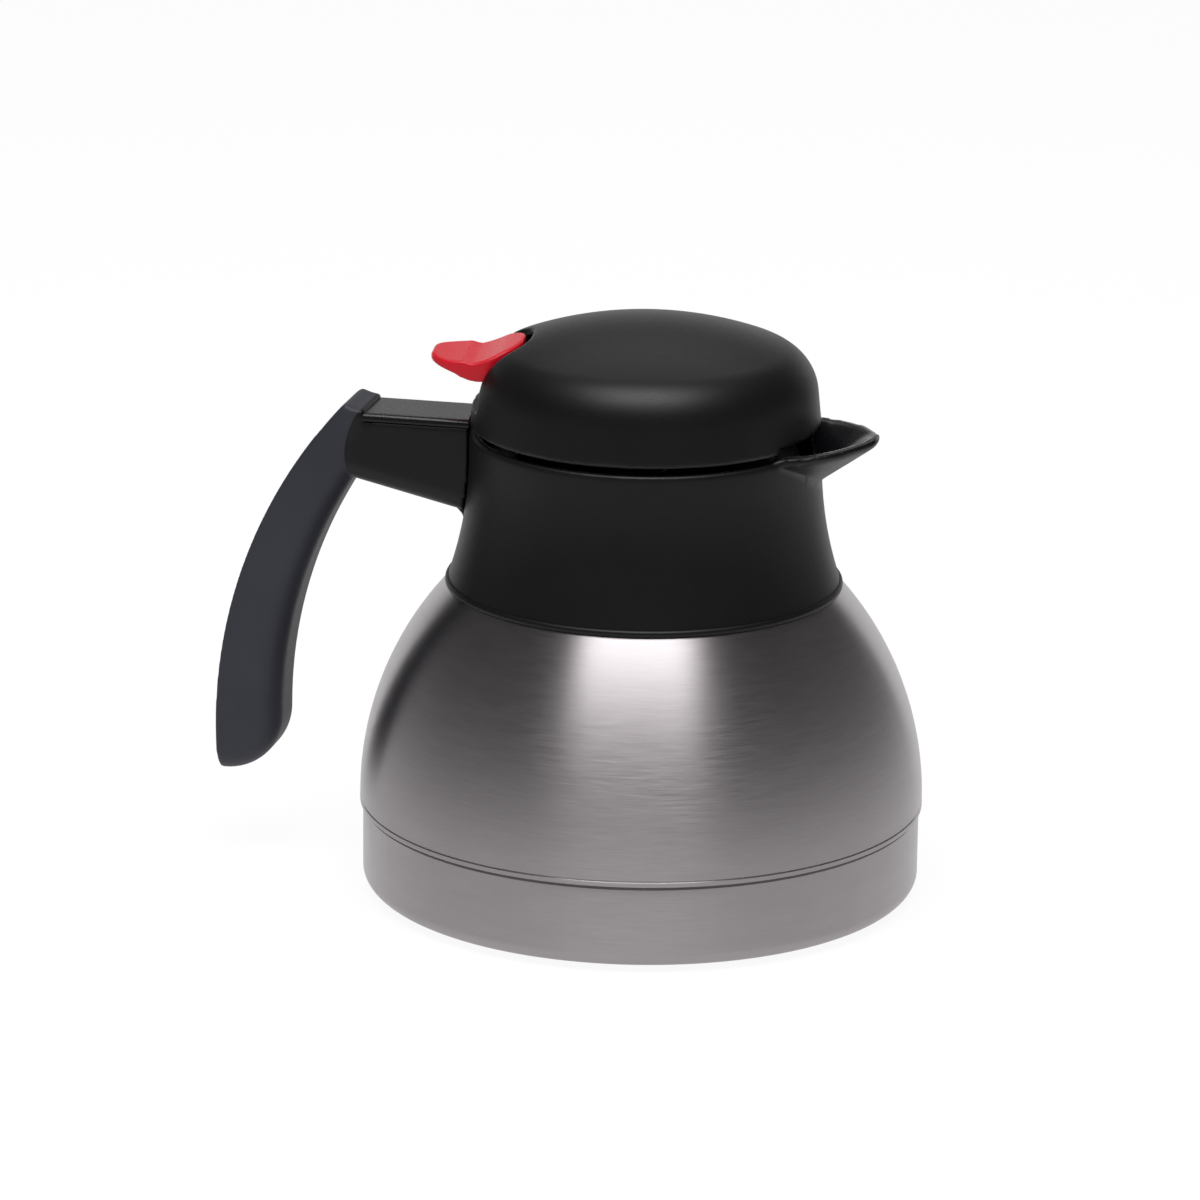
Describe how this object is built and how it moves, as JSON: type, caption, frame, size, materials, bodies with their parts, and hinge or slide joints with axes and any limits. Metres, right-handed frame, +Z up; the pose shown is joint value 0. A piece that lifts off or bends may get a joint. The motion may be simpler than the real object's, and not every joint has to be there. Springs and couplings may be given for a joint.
{
  "type": "vacuum coffee pot",
  "caption": "Vacuum-insulated steel coffee pot with black collar, spout and handle, and a screw-in domed lid whose red thumb lever opens a sprung pour valve.",
  "frame": {"origin": "on the pot's axis at the bottom of the foot ring, where it stands on the table", "axes": "+Z up along the pot's axis, +X towards the spout, -X towards the handle"},
  "size_m": [0.1902, 0.15, 0.1544],
  "materials": {
    "brushed_steel": "circumferentially brushed",
    "plain_steel": "drawn, unpolished",
    "black_plastic": "fine moulded grain",
    "red_plastic": "semi-gloss moulded",
    "grey_plastic": "moulded",
    "seal": "soft silicone",
    "zinc_steel": "zinc plated"
  },
  "bodies": {
    "pot": {"outer_shell": "brushed_steel", "inner_flask": "plain_steel", "flask_base": "plain_steel", "vacuum_plug": "plain_steel", "getter_cup": "plain_steel", "base_cup": "brushed_steel", "foot_ring": "black_plastic", "neck_gasket": "seal", "neck_collar": "black_plastic", "handle": "black_plastic", "arm_cover": "black_plastic", "grip_back": "black_plastic", "handle_screws": "zinc_steel"},
    "seal_ring": {"stopper_gasket": "seal"},
    "lid": {"stopper_body": "grey_plastic", "lid_dome": "black_plastic", "valve_seat": "grey_plastic", "lever_pin": "zinc_steel", "valve_spring": "plain_steel"},
    "lever": {"thumb_lever": "red_plastic"},
    "valve": {"valve_stem": "grey_plastic", "stem_cap": "grey_plastic", "valve_disc": "grey_plastic", "valve_seal": "seal"}
  },
  "joints": [
    {"name": "lid_lift", "type": "slide", "parent": "pot", "child": "seal_ring", "axis": [0, 0, 1], "range_m": [0, 0.065]},
    {"name": "lid_turn", "type": "hinge", "parent": "seal_ring", "child": "lid", "pos_m": [0, 0, 0.117], "axis": [0, 0, 1], "range_deg": [-7, 83]},
    {"name": "lever_press", "type": "hinge", "parent": "lid", "child": "lever", "pos_m": [-0.02779, -0.00341, 0.1375], "axis": [0.1219, -0.9925, 0], "range_deg": [0, 10], "stiffness_Nm_per_rad": 0.02, "springref_deg": -11.46},
    {"name": "valve_lift", "type": "slide", "parent": "lid", "child": "valve", "axis": [0, 0, 1], "range_m": [0, 0.00485], "stiffness_N_per_m": 0.2, "springref_m": 0.2475, "deforming": ["valve_spring"]}
  ],
  "couplings": [
    {"joint": "lever_press", "follows": "valve_lift", "rad_per_m": 35.714}
  ]
}
